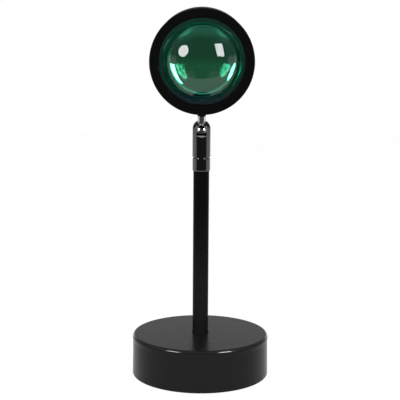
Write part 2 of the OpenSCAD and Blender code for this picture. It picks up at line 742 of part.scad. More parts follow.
base_shell();
base_weight();
base_plate();
foot_pad();
plate_screws();
cord_grommet();
pole_foot_ring();
pole_tube();
lower_nipple();
pole_washer();
pole_nut();
upper_nipple();
swivel_coupling();
snap_ring();
swivel_socket();
ball_seat();
spring_washers();
tipped() ball_stud();
tipped() head_barrel();
tipped() front_bezel();
tipped() lens();
tipped() lens_gasket();
tipped() light_cone();
tipped() condenser_lens();
tipped() condenser_holder();
tipped() led_board();
tipped() led_emitter();
tipped() board_screws();
tipped() heat_sink();
tipped() rear_cover();
tipped() cover_screws();
tipped() stud_washer();
tipped() stud_nut();
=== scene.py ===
# %% [markdown]
# # Dressing a sunset projection lamp
#
# The lamp is a weighted round base, a slim pole, a slotted ball swivel and a
# round head with a thick domed lens. A measured model of it is already there,
# with every hidden nut and washer. This lesson gives it the looks of the real
# thing: finely rounded turned parts, polished and painted metal, coated glass,
# and a small studio for the reflections to come from.
#
# Everything is in the measured model's own frame, in metres, with +Z up the
# pole and -Y the way the lens looks. The drawings below are in millimetres.

# %% Load the measured lamp
import math

import bpy
import numpy as np
from mathutils import Matrix, Vector


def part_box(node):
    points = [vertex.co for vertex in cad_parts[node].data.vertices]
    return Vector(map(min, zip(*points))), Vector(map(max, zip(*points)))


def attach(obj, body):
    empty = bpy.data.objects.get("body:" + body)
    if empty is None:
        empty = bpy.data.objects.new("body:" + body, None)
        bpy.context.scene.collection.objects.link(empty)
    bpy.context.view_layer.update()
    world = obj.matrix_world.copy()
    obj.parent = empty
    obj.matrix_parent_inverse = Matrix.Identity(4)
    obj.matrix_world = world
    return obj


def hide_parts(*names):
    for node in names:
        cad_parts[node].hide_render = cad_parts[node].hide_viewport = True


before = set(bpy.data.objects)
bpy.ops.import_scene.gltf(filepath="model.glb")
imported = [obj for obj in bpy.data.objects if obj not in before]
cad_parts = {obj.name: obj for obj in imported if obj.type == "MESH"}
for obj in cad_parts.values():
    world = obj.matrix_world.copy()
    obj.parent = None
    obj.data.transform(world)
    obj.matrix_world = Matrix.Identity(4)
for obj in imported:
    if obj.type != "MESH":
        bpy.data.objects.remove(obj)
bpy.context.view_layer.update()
MM = 0.001

# %% [markdown]
# ## Where things are
#
# The swivel, the neck and the head hang on one point, the ball's centre. The
# head is tipped down a little about it, so its parts are drawn level, along
# the lens axis, and tipped afterwards.

# %% The ball's centre, the lens axis and the tip
BALL_Z = 172.9
AXIS_ABOVE_BALL = 49.4
TIP = math.radians(6)


def tipped(x, y, z):
    """Turns points about the ball's centre by the tip: y and z turn like the
    hands of a clock seen from +X, and x stays."""
    up = z - BALL_Z
    return (
        x,
        y * math.cos(TIP) - up * math.sin(TIP),
        y * math.sin(TIP) + up * math.cos(TIP) + BALL_Z,
    )


def upright(r, along, turn):
    """Radius, height and angle about the pole become x, y and z."""
    return r * np.cos(turn), r * np.sin(turn), along


def on_neck(r, along, turn):
    """As upright, and then tipped with the ball and the neck."""
    return tipped(*upright(r, along, turn))


def in_head(x, along, level):
    """Side, distance in front of the neck and height above the lens axis
    become x, y and z, tipped with the head."""
    return tipped(x, -along, BALL_Z + AXIS_ABOVE_BALL + level)


def on_lens_axis(r, along, turn):
    """The same from radius, distance and angle about the lens axis."""
    return in_head(r * np.cos(turn), along, r * np.sin(turn))


lens_low, lens_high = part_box("lens")
lens_from, lens_to = round(lens_low.z / MM, 1), round(lens_high.z / MM, 1)
print("the lens stands", lens_from, "to", lens_to, "mm up")

# %% [markdown]
# ## Outlines for turned parts
#
# Nearly every part of this lamp is turned on a lathe: the tool follows half an
# outline while the work spins. No real edge is quite sharp, so each corner of
# an outline is rounded by a small arc. The arcs carry their outward normals
# along, and a reflection then runs over the edge as smoothly as it should.


# %% Arcs and rounded corners
def arc(centre, radius, start, end, steps=12, hollow=False):
    """Points on a circle: centre plus radius times (cos, sin) of the angle, in
    degrees, from start to end. The normal is (cos, sin), or its opposite on a
    hollow, which curves towards the material."""
    angle = np.radians(np.linspace(start, end, steps))
    ray = np.stack([np.cos(angle), np.sin(angle)], axis=1)
    return np.array(centre) + radius * ray, -ray if hollow else ray


def rounded(corners, radii, steps=5, loop=True):
    """Each corner C between unit directions a and b to its neighbours becomes
    an arc. With h half the angle between a and b, the arc's centre is
    C + (a + b) / |a + b| * radius / sin(h), and it sweeps from the foot of one
    side to the foot of the other. A corner that turns left bulges, one that
    turns right is hollow. Without a loop the first and the last corner are
    left out, and only show where the outline comes from and goes to."""
    corner = np.array(corners, float)
    radius = np.broadcast_to(np.array(radii, float), len(corner))[:, None]
    a = np.roll(corner, 1, axis=0) - corner
    b = np.roll(corner, -1, axis=0) - corner
    a /= np.linalg.norm(a, axis=1, keepdims=True)
    b /= np.linalg.norm(b, axis=1, keepdims=True)
    half = np.arccos(np.clip((a * b).sum(1), -1, 1))[:, None] / 2
    middle = (a + b) / np.linalg.norm(a + b, axis=1, keepdims=True)
    centre = corner + middle * radius / np.sin(half)
    first = (corner + a * radius / np.tan(half) - centre) / radius
    last = (corner + b * radius / np.tan(half) - centre) / radius
    sweep = np.pi - 2 * half
    share = np.linspace(0, 1, steps)[None, :, None]
    ray = np.sin((1 - share) * sweep[:, None]) * first[:, None]
    ray = (ray + np.sin(share * sweep[:, None]) * last[:, None]) / np.sin(sweep)[:, None]
    turn = np.sign(a[:, 1] * b[:, 0] - a[:, 0] * b[:, 1])[:, None, None]
    points = centre[:, None] + radius[:, None] * ray
    normals = ray * turn
    if not loop:
        points, normals = points[1:-1], normals[1:-1]
    return points.reshape(-1, 2), normals.reshape(-1, 2)


def on_axis(along, facing):
    """The end of an outline on the axis itself, where it faces up or down."""
    return np.array([[0.0, along]]), np.array([[0.0, float(facing)]])


def chain(*parts):
    """One outline from several, end to end; straight lines join them."""
    return np.concatenate([p for p, _ in parts]), np.concatenate([n for _, n in parts])


print("a rounded corner has", len(rounded([(0, 0), (1, 0), (1, 1)], 0.1)[0]) // 3, "points")

# %% [markdown]
# ## The lathe
#
# A turned surface is a grid: one direction runs along the outline, the other
# round the axis. Blender gets the whole grid at once, as arrays. Where the
# outline ends on the axis a single point closes it with a fan of triangles.


# %% Turn an outline into a piece
MICRON = 0.001


def mesh_from(name, points, faces, normals=None):
    """A mesh of points in millimetres and faces; a face that names a corner
    twice is a triangle. Its volume tells whether the faces point outwards:
    the sum of a . (b x c) / 6 over its triangles has to be positive."""
    faces = np.asarray(faces)
    first, third = points[faces[:, 0]], points[faces[:, 2]]
    second, fourth = points[faces[:, 1]], points[faces[:, 3]]
    volume = (first * np.cross(second, third)).sum() / 6
    volume += (first * np.cross(third, fourth)).sum() / 6
    if volume < 0:
        faces = faces[:, [1, 0, 3, 2]]
    rows = [row[:3] if row[2] == row[3] else row for row in faces.tolist()]
    rows = [row[1:] if row[0] == row[1] else row for row in rows]
    mesh = bpy.data.meshes.new(name)
    mesh.from_pydata((points * MM).tolist(), [], rows)
    mesh.shade_smooth()
    if normals is not None:
        mesh.normals_split_custom_set_from_vertices(normals)
    print(f"{name}: {len(rows)} faces, {abs(volume) / 1000:.2f} cm3")
    return mesh


def add_piece(name, mesh):
    """Puts a mesh into the scene as a piece of that name."""
    piece = bpy.data.objects.new(name, mesh)
    bpy.context.scene.collection.objects.link(piece)
    return piece


def turned(name, outline, place=upright, steps=96, shaded=True):
    """The outline's point (r, along) at each of the angles 2 pi k / steps goes
    to place(r, along, angle). A point a micron out along the normal goes with
    it and shows where the normal turns. An outline that ends on the axis is
    closed there, and any other one is a closed loop."""
    points, normals = outline
    turn = np.linspace(0, 2 * np.pi, steps, endpoint=False)[None, :]

    def spun(at):
        """These points of the outline at every angle."""
        return np.stack(np.broadcast_arrays(*place(at[:, :1], at[:, 1:], turn)), axis=-1)

    grid, outside = spun(points), spun(points + normals * MICRON)
    number = np.arange(len(points) * steps).reshape(len(points), steps)
    ends = np.flatnonzero(points[:, 0] == 0)
    number[ends] = number[ends, :1]
    lower = number if len(ends) == 0 else number[:-1]
    upper = np.roll(number, -1, axis=0) if len(ends) == 0 else number[1:]
    faces = np.stack(
        [lower, np.roll(lower, -1, axis=1), np.roll(upper, -1, axis=1), upper], axis=-1
    ).reshape(-1, 4)
    used, faces = np.unique(faces, return_inverse=True)
    faces = faces.reshape(-1, 4)
    spots = grid.reshape(-1, 3)[used]
    facing = ((outside - grid) / MICRON).reshape(-1, 3)[used]
    return add_piece(name, mesh_from(name, spots, faces, facing if shaded else None))


def dress(piece, body, slot, *nodes):
    """The piece rides on its body and stands for the measured nodes named
    last, which it hides. The slot is not used."""
    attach(piece, body)
    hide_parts(*nodes)


# %% [markdown]
# ## The base
#
# The base is a deep-drawn steel cup, turned over and sprayed satin black. Its
# side leans in a little, so that it leaves the press die. Near the top it comes
# out again by a quarter of a millimetre, as a bead, and bends softly into the
# roof. It is one closed outline, outside and inside. A round hole low in the
# back takes the rubber grommet, and is cut with a boolean as a punch does.

# %% Draw, turn and punch the base
RIM_Z, SIDE_TOP, BEAD_Z, ROOF_Z = 0.4, 24.5, 26.6, 29.2
RIM_R, BEAD_R, POLE_BORE = 48.18, 48.1, 4.05
STEEL = 1.2
LEAN = 0.35 / (SIDE_TOP - RIM_Z)
GROMMET_Z, GROMMET_HOLE_R = 10.0, 3.25


def cup_r(z):
    """Outside radius of the leaning side: it falls by LEAN for each mm up."""
    return RIM_R - LEAN * (z - RIM_Z)


def towards_back(r, along, turn):
    """Radius, distance and angle about the line that leaves the back at the
    grommet's height become x, y and z."""
    return r * np.sin(turn), along, GROMMET_Z + r * np.cos(turn)


def cut(piece, cutter):
    """Takes the cutter out of the piece and keeps the finished mesh alone."""
    boolean = piece.modifiers.new("cut", "BOOLEAN")
    boolean.operation, boolean.solver, boolean.object = "DIFFERENCE", "EXACT", cutter
    shown = piece.evaluated_get(bpy.context.evaluated_depsgraph_get())
    mesh = bpy.data.meshes.new_from_object(shown)
    piece.modifiers.clear()
    piece.data = mesh
    bpy.data.objects.remove(cutter)


def keep_flats_flat(piece):
    """Weighted normals: a large face decides the shading next to a small one."""
    weighted = piece.modifiers.new("flats", "WEIGHTED_NORMAL")
    weighted.weight, weighted.keep_sharp = 80, True


base_outline = rounded(
    [
        (cup_r(RIM_Z), RIM_Z),
        (cup_r(SIDE_TOP), SIDE_TOP),
        (BEAD_R, BEAD_Z),
        (BEAD_R, ROOF_Z),
        (POLE_BORE, ROOF_Z),
        (POLE_BORE, ROOF_Z - STEEL),
        (cup_r(SIDE_TOP) - STEEL, ROOF_Z - STEEL),
        (cup_r(RIM_Z) - STEEL, RIM_Z),
    ],
    [0.35, 3.0, 1.0, 2.2, 0.15, 0.15, 0.8, 0.35],
    steps=9,
)
base_cup = turned("base_cup", base_outline, steps=256, shaded=False)

punch_side = np.array([[GROMMET_HOLE_R, 40.0], [GROMMET_HOLE_R, 55.0]]), np.zeros((2, 2))
punch_outline = chain(on_axis(40, -1), punch_side, on_axis(55, 1))
grommet_punch = turned(
    "grommet_punch", punch_outline, place=towards_back, steps=48, shaded=False
)
cut(base_cup, grommet_punch)
base_cup.data.set_sharp_from_angle(angle=math.radians(40))
keep_flats_flat(base_cup)
dress(base_cup, "stand", "base_shell", "base_shell")

# %% [markdown]
# ## The grommet
#
# A grommet is a rubber ring with a groove: it snaps into the steel and keeps
# the edge off the supply lead. It lies along +Y, low in the back of the base.

# %% Mould the grommet
GROMMET_IN, GROMMET_OUT, COLLAR = 44.93, 49.51, 1.4
COLLAR_R, GROOVE_R, LEAD_R = 4.6, 3.2, 1.8

grommet_outline = rounded(
    [
        (COLLAR_R, GROMMET_IN),
        (COLLAR_R, GROMMET_IN + COLLAR),
        (GROOVE_R, GROMMET_IN + COLLAR),
        (GROOVE_R, GROMMET_OUT - COLLAR),
        (COLLAR_R, GROMMET_OUT - COLLAR),
        (3.9, GROMMET_OUT),
        (LEAD_R, GROMMET_OUT),
        (LEAD_R, GROMMET_IN),
    ],
    [0.4, 0.3, 0.15, 0.15, 0.3, 0.55, 0.45, 0.3],
)
lead_grommet = turned("lead_grommet", grommet_outline, place=towards_back, steps=72)
dress(lead_grommet, "stand", "cord_grommet", "cord_grommet")

# %% [markdown]
# ## The pole
#
# The pole is drawn steel tube, cut square and deburred, on a thin washer that
# spreads its pull on the base. Both are rings, so a closed outline does.

# %% Turn the washer and the tube
WASHER_R, POLE_R, POLE_FOOT, POLE_TOP = 5.9, 5.55, 30.0, 144.8


def ring_outline(inner, outer, low, high, edge):
    """A rectangle between two radii and two heights, with rounded corners."""
    corners = [(outer, low), (outer, high), (inner, high), (inner, low)]
    return rounded(corners, edge)


washer_outline = ring_outline(POLE_BORE, WASHER_R, ROOF_Z, POLE_FOOT, 0.2)
foot_washer = turned("foot_washer", washer_outline)
dress(foot_washer, "stand", "pole_foot_ring", "pole_foot_ring")
pole = turned("pole", ring_outline(POLE_BORE, POLE_R, POLE_FOOT, POLE_TOP, 0.12))
dress(pole, "stand", "pole_tube", "pole_tube")

# %% [markdown]
# ## The sleeve and the slotted cup
#
# The swivel starts with a sleeve, screwed on a nipple in the end of the pole.
# Its foot is chamfered, and a small ledge at its shoulder leaves a dark line
# below the cup. Its spigot carries the cup, which turns on it and is held by a
# snap ring. The cup is slotted down one side, so that the neck can fold down to
# the level. It is turned first, and the slot is milled with its ramp at the
# end. A fine bevel breaks the milled edges, because polished edges always catch
# a line of light.

# %% Turn the sleeve
SLEEVE_R, LEDGE_R, SPIGOT_R, WIRE_R = 6.2, 5.65, 4.9, 2.1
SHOULDER_Z, LEDGE_Z, SPIGOT_TOP = 154.0, 154.55, 164.0

sleeve_outline = rounded(
    [
        (SLEEVE_R - 0.3, POLE_TOP),
        (SLEEVE_R, POLE_TOP + 0.6),
        (SLEEVE_R, SHOULDER_Z),
        (LEDGE_R, SHOULDER_Z),
        (LEDGE_R, LEDGE_Z),
        (SPIGOT_R, LEDGE_Z),
        (SPIGOT_R, 158.55),
        (4.25, 158.55),
        (4.25, 159.65),
        (SPIGOT_R, 159.65),
        (SPIGOT_R, SPIGOT_TOP),
        (WIRE_R, SPIGOT_TOP),
        (WIRE_R, 151.35),
        (POLE_BORE, 151.35),
        (POLE_BORE, POLE_TOP),
    ],
    [0.08, 0.3, 0.46] + [0.08] * 12,
    steps=7,
)
sleeve = turned("sleeve", sleeve_outline)
dress(sleeve, "stand", "swivel_coupling", "swivel_coupling")

# %% Turn and mill the cup
CUP_R, BORE_R, SLOT_HALF = 6.3, 5.0, 3.5
DOME_Z, SLOT_END, CUP_FOOT = BALL_Z + 1.3, BALL_Z - 3.4, 154.6

swivel_outline = chain(
    on_axis(BALL_Z + BORE_R, -1),
    arc((0, BALL_Z), BORE_R, 87, 0, 24, hollow=True),
    rounded(
        [
            (BORE_R, BALL_Z),
            (BORE_R, 159.7),
            (5.45, 159.7),
            (5.45, 158.5),
            (BORE_R, 158.5),
            (BORE_R, CUP_FOOT),
            (CUP_R - 0.15, CUP_FOOT),
            (CUP_R, CUP_FOOT + 0.15),
            (CUP_R, DOME_Z),
        ],
        0.02,
        steps=2,
        loop=False,
    ),
    arc((0, DOME_Z), CUP_R, 0, 87, 24),
    on_axis(DOME_Z + CUP_R, 1),
)
swivel_cup = turned("swivel_cup", swivel_outline, steps=128, shaded=False)


def two_finishes(mesh):
    """Makes room for a turned finish and a milled one."""
    for _ in range(2):
        mesh.materials.append(None)


def milling_cutter(name):
    """A prism for the mouth and the slot. Its plan is a half circle behind and
    two straight sides to the front; its floor is level to just past the bore,
    and then falls as fast as it goes out. The faces that it cuts get the
    second finish."""
    turn = np.linspace(0, np.pi, 33)
    back = np.stack([SLOT_HALF * np.cos(turn), SLOT_HALF * np.sin(turn)], axis=1)
    kink, front, top = -BORE_R - 0.25, -9.0, 190.0
    left = [[-SLOT_HALF, kink], [-SLOT_HALF, front]]
    right = [[SLOT_HALF, front], [SLOT_HALF, kink]]
    plan = np.concatenate([back, left, right])
    count = len(plan)
    floor = SLOT_END + np.minimum(0, plan[:, 1] - kink)
    low = np.column_stack([plan, floor])
    high = np.column_stack([plan, np.full(count, top)])
    level = list(range(count - 4, -1, -1)) + [count - 1]
    ramp = [count - 4, count - 1, count - 2, count - 3]
    faces = [level, ramp, list(range(count, 2 * count))]
    walls = [[k, (k + 1) % count, count + (k + 1) % count, count + k] for k in range(count)]
    mesh = bpy.data.meshes.new(name)
    mesh.from_pydata((np.concatenate([low, high]) * MM).tolist(), [], faces + walls)
    two_finishes(mesh)
    mesh.polygons.foreach_set("material_index", np.ones(len(mesh.polygons), np.int32))
    return add_piece(name, mesh)


def break_edges(piece, width, above=35):
    """Bevels the edges that turn by more than so many degrees."""
    bevel = piece.modifiers.new("broken edges", "BEVEL")
    bevel.width, bevel.segments, bevel.limit_method = width * MM, 2, "ANGLE"
    bevel.angle_limit, bevel.miter_outer = math.radians(above), "MITER_ARC"
    keep_flats_flat(piece)


two_finishes(swivel_cup.data)
cut(swivel_cup, milling_cutter("milling_cutter"))
break_edges(swivel_cup, 0.14)
dress(swivel_cup, "socket", "swivel_socket", "swivel_socket")

# %% [markdown]
# ## The ball and its neck
#
# The ball, the neck and the threaded stud are turned from one bar and chromed.
# A small waist parts the neck from the ball, so that the ball can be polished
# all round, and a fillet in it keeps the stud from cracking there.

# %% Turn the ball, the neck and the stud
BALL_R, NECK_R, WAIST_R, FILLET = 4.9, 2.9, 2.2, 0.2
WAIST_TOP, NECK_TOP, STUD_TOP = BALL_Z + 4.95, 182.9, 196.8
STUD_R, WIRE_HOLE_R = 2.2, 1.4
SINK_R, SINK_Z = 2.038, 168.444


def ball_outline():
    """The ball is an arc up to a fillet. The fillet's centre is FILLET outside
    the ball and outside the waist: at radius WAIST_R + FILLET, at the height
    where its distance from the ball's centre is BALL_R + FILLET. Below, a
    countersink opens the hole for the wires."""
    reach, across = BALL_R + FILLET, WAIST_R + FILLET
    rise = math.sqrt(reach**2 - across**2)
    meet = math.degrees(math.atan2(rise, across))
    mouth = -math.degrees(math.acos(SINK_R / BALL_R))
    return chain(
        arc((0, BALL_Z), BALL_R, mouth, meet, 40),
        arc((across, BALL_Z + rise), FILLET, meet + 180, 180, 6, hollow=True),
        rounded(
            [
                (WAIST_R, BALL_Z + rise),
                (WAIST_R, WAIST_TOP),
                (NECK_R, WAIST_TOP),
                (NECK_R, NECK_TOP),
                (NECK_R - 0.35, NECK_TOP + 0.4),
                (STUD_R, NECK_TOP + 0.4),
                (STUD_R, STUD_TOP),
                (WIRE_HOLE_R, STUD_TOP),
                (WIRE_HOLE_R, 170.2),
                (SINK_R, SINK_Z),
            ],
            [0.05, 0.05, 0.25, 0.1] + [0.05] * 6,
            loop=False,
        ),
        (np.array([[SINK_R, SINK_Z]]), np.array([[-0.94, -0.34]])),
    )


ball_and_neck = turned("ball_and_neck", ball_outline(), place=on_neck)
dress(ball_and_neck, "ball", "ball_stud", "ball_stud")

# %% [markdown]
# ## The bezel
#
# The bezel screws into the barrel and holds the lens. It is turned from
# aluminium: a flat face, a softened outer edge, a chamfer towards the glass and
# a lip over the lens flange. Its rear corner is rounded too, which draws the
# fine dark seam between the bezel and the barrel.

# %% Turn the bezel
bezel_outline = rounded(
    [
        (29.9, 19.05),
        (31.7, 19.05),
        (31.7, 24.0),
        (34.5, 24.0),
        (34.5, 30.0),
        (29.2, 30.0),
        (28.4, 29.2),
        (28.4, 27.5),
        (29.9, 27.5),
    ],
    [0.1, 0.3, 0.2, 0.25, 0.8, 0.12, 0.12, 0.12, 0.1],
    steps=7,
)
bezel = turned("bezel", bezel_outline, place=on_lens_axis, steps=192)
dress(bezel, "head", "front_bezel", "front_bezel")

# %% [markdown]
# ## The lens
#
# The big lens is moulded glass, domed in front, with a flange to hold it by.
# The dome is part of a ball, and a little fillet joins it to the flange as the
# mould's corner does. Behind the flange stands a shallow boss whose back leans
# a few degrees: the mirror on it then throws what it shows off the dome's
# middle. It is one solid, so light bends through it as through real glass.

# %% Mould the lens
FLANGE_BACK, FLANGE_FRONT, FLANGE_R = 24.45, 27.45, 29.7
DOME_BASE_R, DOME_RISE, DOME_FILLET = 25.8, 14.0, 0.5
BACK, BACK_R = 22.0, 25.0
LEAN_UP, LEAN_SIDE = math.radians(6.2), math.radians(1.2)
LEAN_FROM = FLANGE_BACK - 0.2
DOME_R = (DOME_BASE_R**2 + DOME_RISE**2) / (2 * DOME_RISE)
DOME_CENTRE = FLANGE_FRONT + DOME_RISE - DOME_R


def lens_outline():
    """The boss, the rounded flange, the fillet and the dome. The fillet's
    centre is DOME_FILLET above the flange and DOME_R + DOME_FILLET from the
    ball's centre, so that it touches both."""
    rise = FLANGE_FRONT + DOME_FILLET - DOME_CENTRE
    across = math.sqrt((DOME_R + DOME_FILLET) ** 2 - rise**2)
    meet = math.degrees(math.atan2(rise, across))
    corner = (across, FLANGE_FRONT + DOME_FILLET)
    return chain(
        on_axis(BACK, -1),
        rounded(
            [
                (0, BACK),
                (BACK_R, BACK),
                (BACK_R, FLANGE_BACK),
                (FLANGE_R, FLANGE_BACK),
                (FLANGE_R, FLANGE_FRONT),
                (across, FLANGE_FRONT),
            ],
            [0.05, 0.05, 0.05, 0.3, 0.3, 0.3],
            loop=False,
        ),
        arc(corner, DOME_FILLET, 270, 180 + meet, 7, hollow=True),
        arc((0, DOME_CENTRE), DOME_R, meet, 89, 56),
        on_axis(DOME_CENTRE + DOME_R, 1),
    )


def on_wedge(r, along, turn):
    """As on the lens axis, but what lies further back than LEAN_FROM leans
    back at its top and its right. Depth and height turn by LEAN_UP about the
    middle of the back, and then depth and side turn by LEAN_SIDE, both like
    clock hands. The flange stays square."""
    side, height = r * np.cos(turn), r * np.sin(turn)
    depth = along - BACK + 0 * side
    deep = depth * math.cos(LEAN_UP) - height * math.sin(LEAN_UP)
    tall = depth * math.sin(LEAN_UP) + height * math.cos(LEAN_UP)
    leaning = (
        side * math.cos(LEAN_SIDE) + deep * math.sin(LEAN_SIDE),
        BACK + deep * math.cos(LEAN_SIDE) - side * math.sin(LEAN_SIDE),
        tall,
    )
    behind = along < LEAN_FROM
    straight = (side, BACK + depth, height)
    return in_head(*(np.where(behind, a, b) for a, b in zip(leaning, straight)))


big_lens = turned("big_lens", lens_outline(), place=on_wedge, steps=192)
dress(big_lens, "head", "lens", "lens")
print("the dome is part of a ball of", round(DOME_R, 2), "mm radius")

# %% [markdown]
# ## The coating
#
# The boss and the back of the flange carry a thin film that mirrors green and
# lets the warm colours through: that is what makes the sunset. It is drawn as a
# skin three hundredths of a millimetre thick, right behind the glass.

# %% Lay the film behind the lens
FILM_NEAR, FILM_FAR, FILM_R = 0.01, 0.04, 29.4

film_outline = chain(
    on_axis(BACK - FILM_FAR, -1),
    rounded(
        [
            (0, BACK - FILM_FAR),
            (BACK_R + FILM_FAR, BACK - FILM_FAR),
            (BACK_R + FILM_FAR, FLANGE_BACK - FILM_FAR),
            (FILM_R, FLANGE_BACK - FILM_FAR),
            (FILM_R, FLANGE_BACK - FILM_NEAR),
            (BACK_R + FILM_NEAR, FLANGE_BACK - FILM_NEAR),
            (BACK_R + FILM_NEAR, BACK - FILM_NEAR),
            (0, BACK - FILM_NEAR),
        ],
        0.01,
        steps=3,
        loop=False,
    ),
    on_axis(BACK - FILM_NEAR, 1),
)
lens_film = turned("lens_film", film_outline, place=on_wedge, steps=128)
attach(lens_film, "head")

# %% [markdown]
# ## Behind the lens
#
# A black cone keeps stray light off the barrel's wall, and a small condenser
# lens gathers the light of the LED. Both show dimly through the big lens.

# %% Turn the cone and mould the condenser
cone_outline = rounded(
    [
        (27.3, 17.9),
        (27.3, 16.85),
        (13.2, 3.05),
        (9.6, 3.05),
        (9.6, 4.25),
        (12.0, 4.25),
        (26.1, 18.05),
        (26.1, 22.85),
        (29.7, 22.85),
        (29.7, 17.9),
    ][::-1],
    0.12,
    steps=3,
)
light_cone = turned("light_cone_shade", cone_outline, place=on_lens_axis, steps=128)
dress(light_cone, "head", "light_cone", "light_cone")

CAP_R, CAP_RISE, CAP_FOOT, CONDENSER_BACK = 9.0, 5.0, 2.95, 1.45


def condenser_outline():
    """A flat flange and a ball's cap. The ball's radius is the sum of the
    squares of CAP_R and CAP_RISE, over twice CAP_RISE."""
    radius = (CAP_R**2 + CAP_RISE**2) / (2 * CAP_RISE)
    centre = CAP_FOOT + CAP_RISE - radius
    meet = math.degrees(math.atan2(CAP_FOOT - centre, CAP_R))
    flange = [(0, CONDENSER_BACK), (11, CONDENSER_BACK), (11, CAP_FOOT), (CAP_R, CAP_FOOT)]
    return chain(
        on_axis(CONDENSER_BACK, -1),
        rounded(flange, 0.15, steps=4, loop=False),
        arc((0, centre), radius, meet, 88, 30),
        on_axis(centre + radius, 1),
    )


condenser = turned("condenser", condenser_outline(), place=on_lens_axis)
dress(condenser, "head", "condenser_lens", "condenser_lens")

# %% [markdown]
# ## A way to write finishes
#
# A finish is a small network of nodes. Written as sums it is easier to read:
# a Socket stands for one output, and adding, taking away or multiplying
# sockets adds the Math node that does it. Every other node comes from one
# method, which takes its type, its settings and the values of its sockets.


# %% Sockets that can be added up
class Socket:
    """One output of a node. Each operator adds a Math node after it."""

    def __init__(self, finish, socket):
        self.finish, self.socket = finish, socket

    def math(self, operation, *terms):
        """A Math node that works on the terms, in their order."""
        inputs = dict(enumerate(terms))
        return self.finish.node("ShaderNodeMath", {"operation": operation}, inputs)

    def __add__(self, other):
        return self.math("ADD", self, other)

    def __radd__(self, other):
        return self.math("ADD", other, self)

    def __sub__(self, other):
        return self.math("SUBTRACT", self, other)

    def __rsub__(self, other):
        return self.math("SUBTRACT", other, self)

    def __mul__(self, other):
        return self.math("MULTIPLY", self, other)

    def __rmul__(self, other):
        return self.math("MULTIPLY", other, self)

    def __pow__(self, other):
        return self.math("POWER", self, other)


class Finish:
    """A material, or the world, and the nodes that make it up."""

    def __init__(self, name, world=False):
        self.block = (bpy.data.worlds if world else bpy.data.materials).new(name)
        self.block.use_nodes = True
        self.tree = self.block.node_tree
        self.tree.nodes.clear()
        self.kind = "World" if world else "Material"

    def node(self, kind, settings=None, inputs=None, output=0):
        """Adds a node: settings first, then each input's value or link."""
        made = self.tree.nodes.new(kind)
        for key, value in (settings or {}).items():
            setattr(made, key, value)
        for key, value in (inputs or {}).items():
            if isinstance(value, Socket):
                self.tree.links.new(value.socket, made.inputs[key])
            else:
                made.inputs[key].default_value = value
        return Socket(self, made.outputs[output])

    def place(self, centre=(0, 0, 0), turn=(0, 0, 0), stretch=(1, 1, 1)):
        """Object coordinates, moved to a centre, turned and stretched."""
        spot = self.node("ShaderNodeTexCoord", output="Object")
        inputs = {"Vector": spot, "Location": centre, "Rotation": turn, "Scale": stretch}
        return self.node("ShaderNodeMapping", {"vector_type": "POINT"}, inputs)

    def parts(self, vector):
        """The x, y and z of a vector, as three numbers."""
        return [self.node("ShaderNodeSeparateXYZ", {}, {0: vector}, k) for k in range(3)]

    def noise(self, where, size, detail=2.0):
        """Soft noise from 0 to 1 with blotches about size millimetres across."""
        inputs = {"Vector": where, "Scale": 1 / (size * MM), "Detail": detail}
        return self.node("ShaderNodeTexNoise", {}, inputs)

    def step(self, value, low, high):
        """0 up to low, 1 from high on, and a smooth rise between. Where high
        is the smaller number it is 1 below it and falls to 0 at low."""
        return self.node(
            "ShaderNodeMapRange",
            {"interpolation_type": "SMOOTHSTEP"},
            {"Value": value, "From Min": low, "From Max": high},
        )

    def blend(self, share, first, second):
        """The first colour where share is 0 and the second where it is 1."""
        return self.node(
            "ShaderNodeMix", {"data_type": "RGBA"}, {0: share, 6: first, 7: second}, 2
        )

    def bump(self, height, depth):
        """A relief: height from 0 to 1 stands for depth millimetres."""
        inputs = {"Strength": 1.0, "Distance": depth * MM, "Height": height}
        return self.node("ShaderNodeBump", {}, inputs)

    def surface(self, **inputs):
        """The main shader, with its sockets written in small letters."""

        def title(key):
            """A socket's own name: coat_ior is Coat IOR."""
            return key.replace("_", " ").title().replace("Ior", "IOR")

        named = {title(key): value for key, value in inputs.items()}
        return self.node("ShaderNodeBsdfPrincipled", {}, named)

    def done(self, shader):
        """Sends a shader to the output and gives the finished block."""
        end = self.tree.nodes.new(f"ShaderNodeOutput{self.kind}")
        self.tree.links.new(shader.socket, end.inputs["Surface"])
        return self.block


def grey(level, warm=0.0):
    """A neutral colour of that level, a touch warmer or cooler."""
    return (level * (1 + warm), level, level * (1 - warm), 1.0)
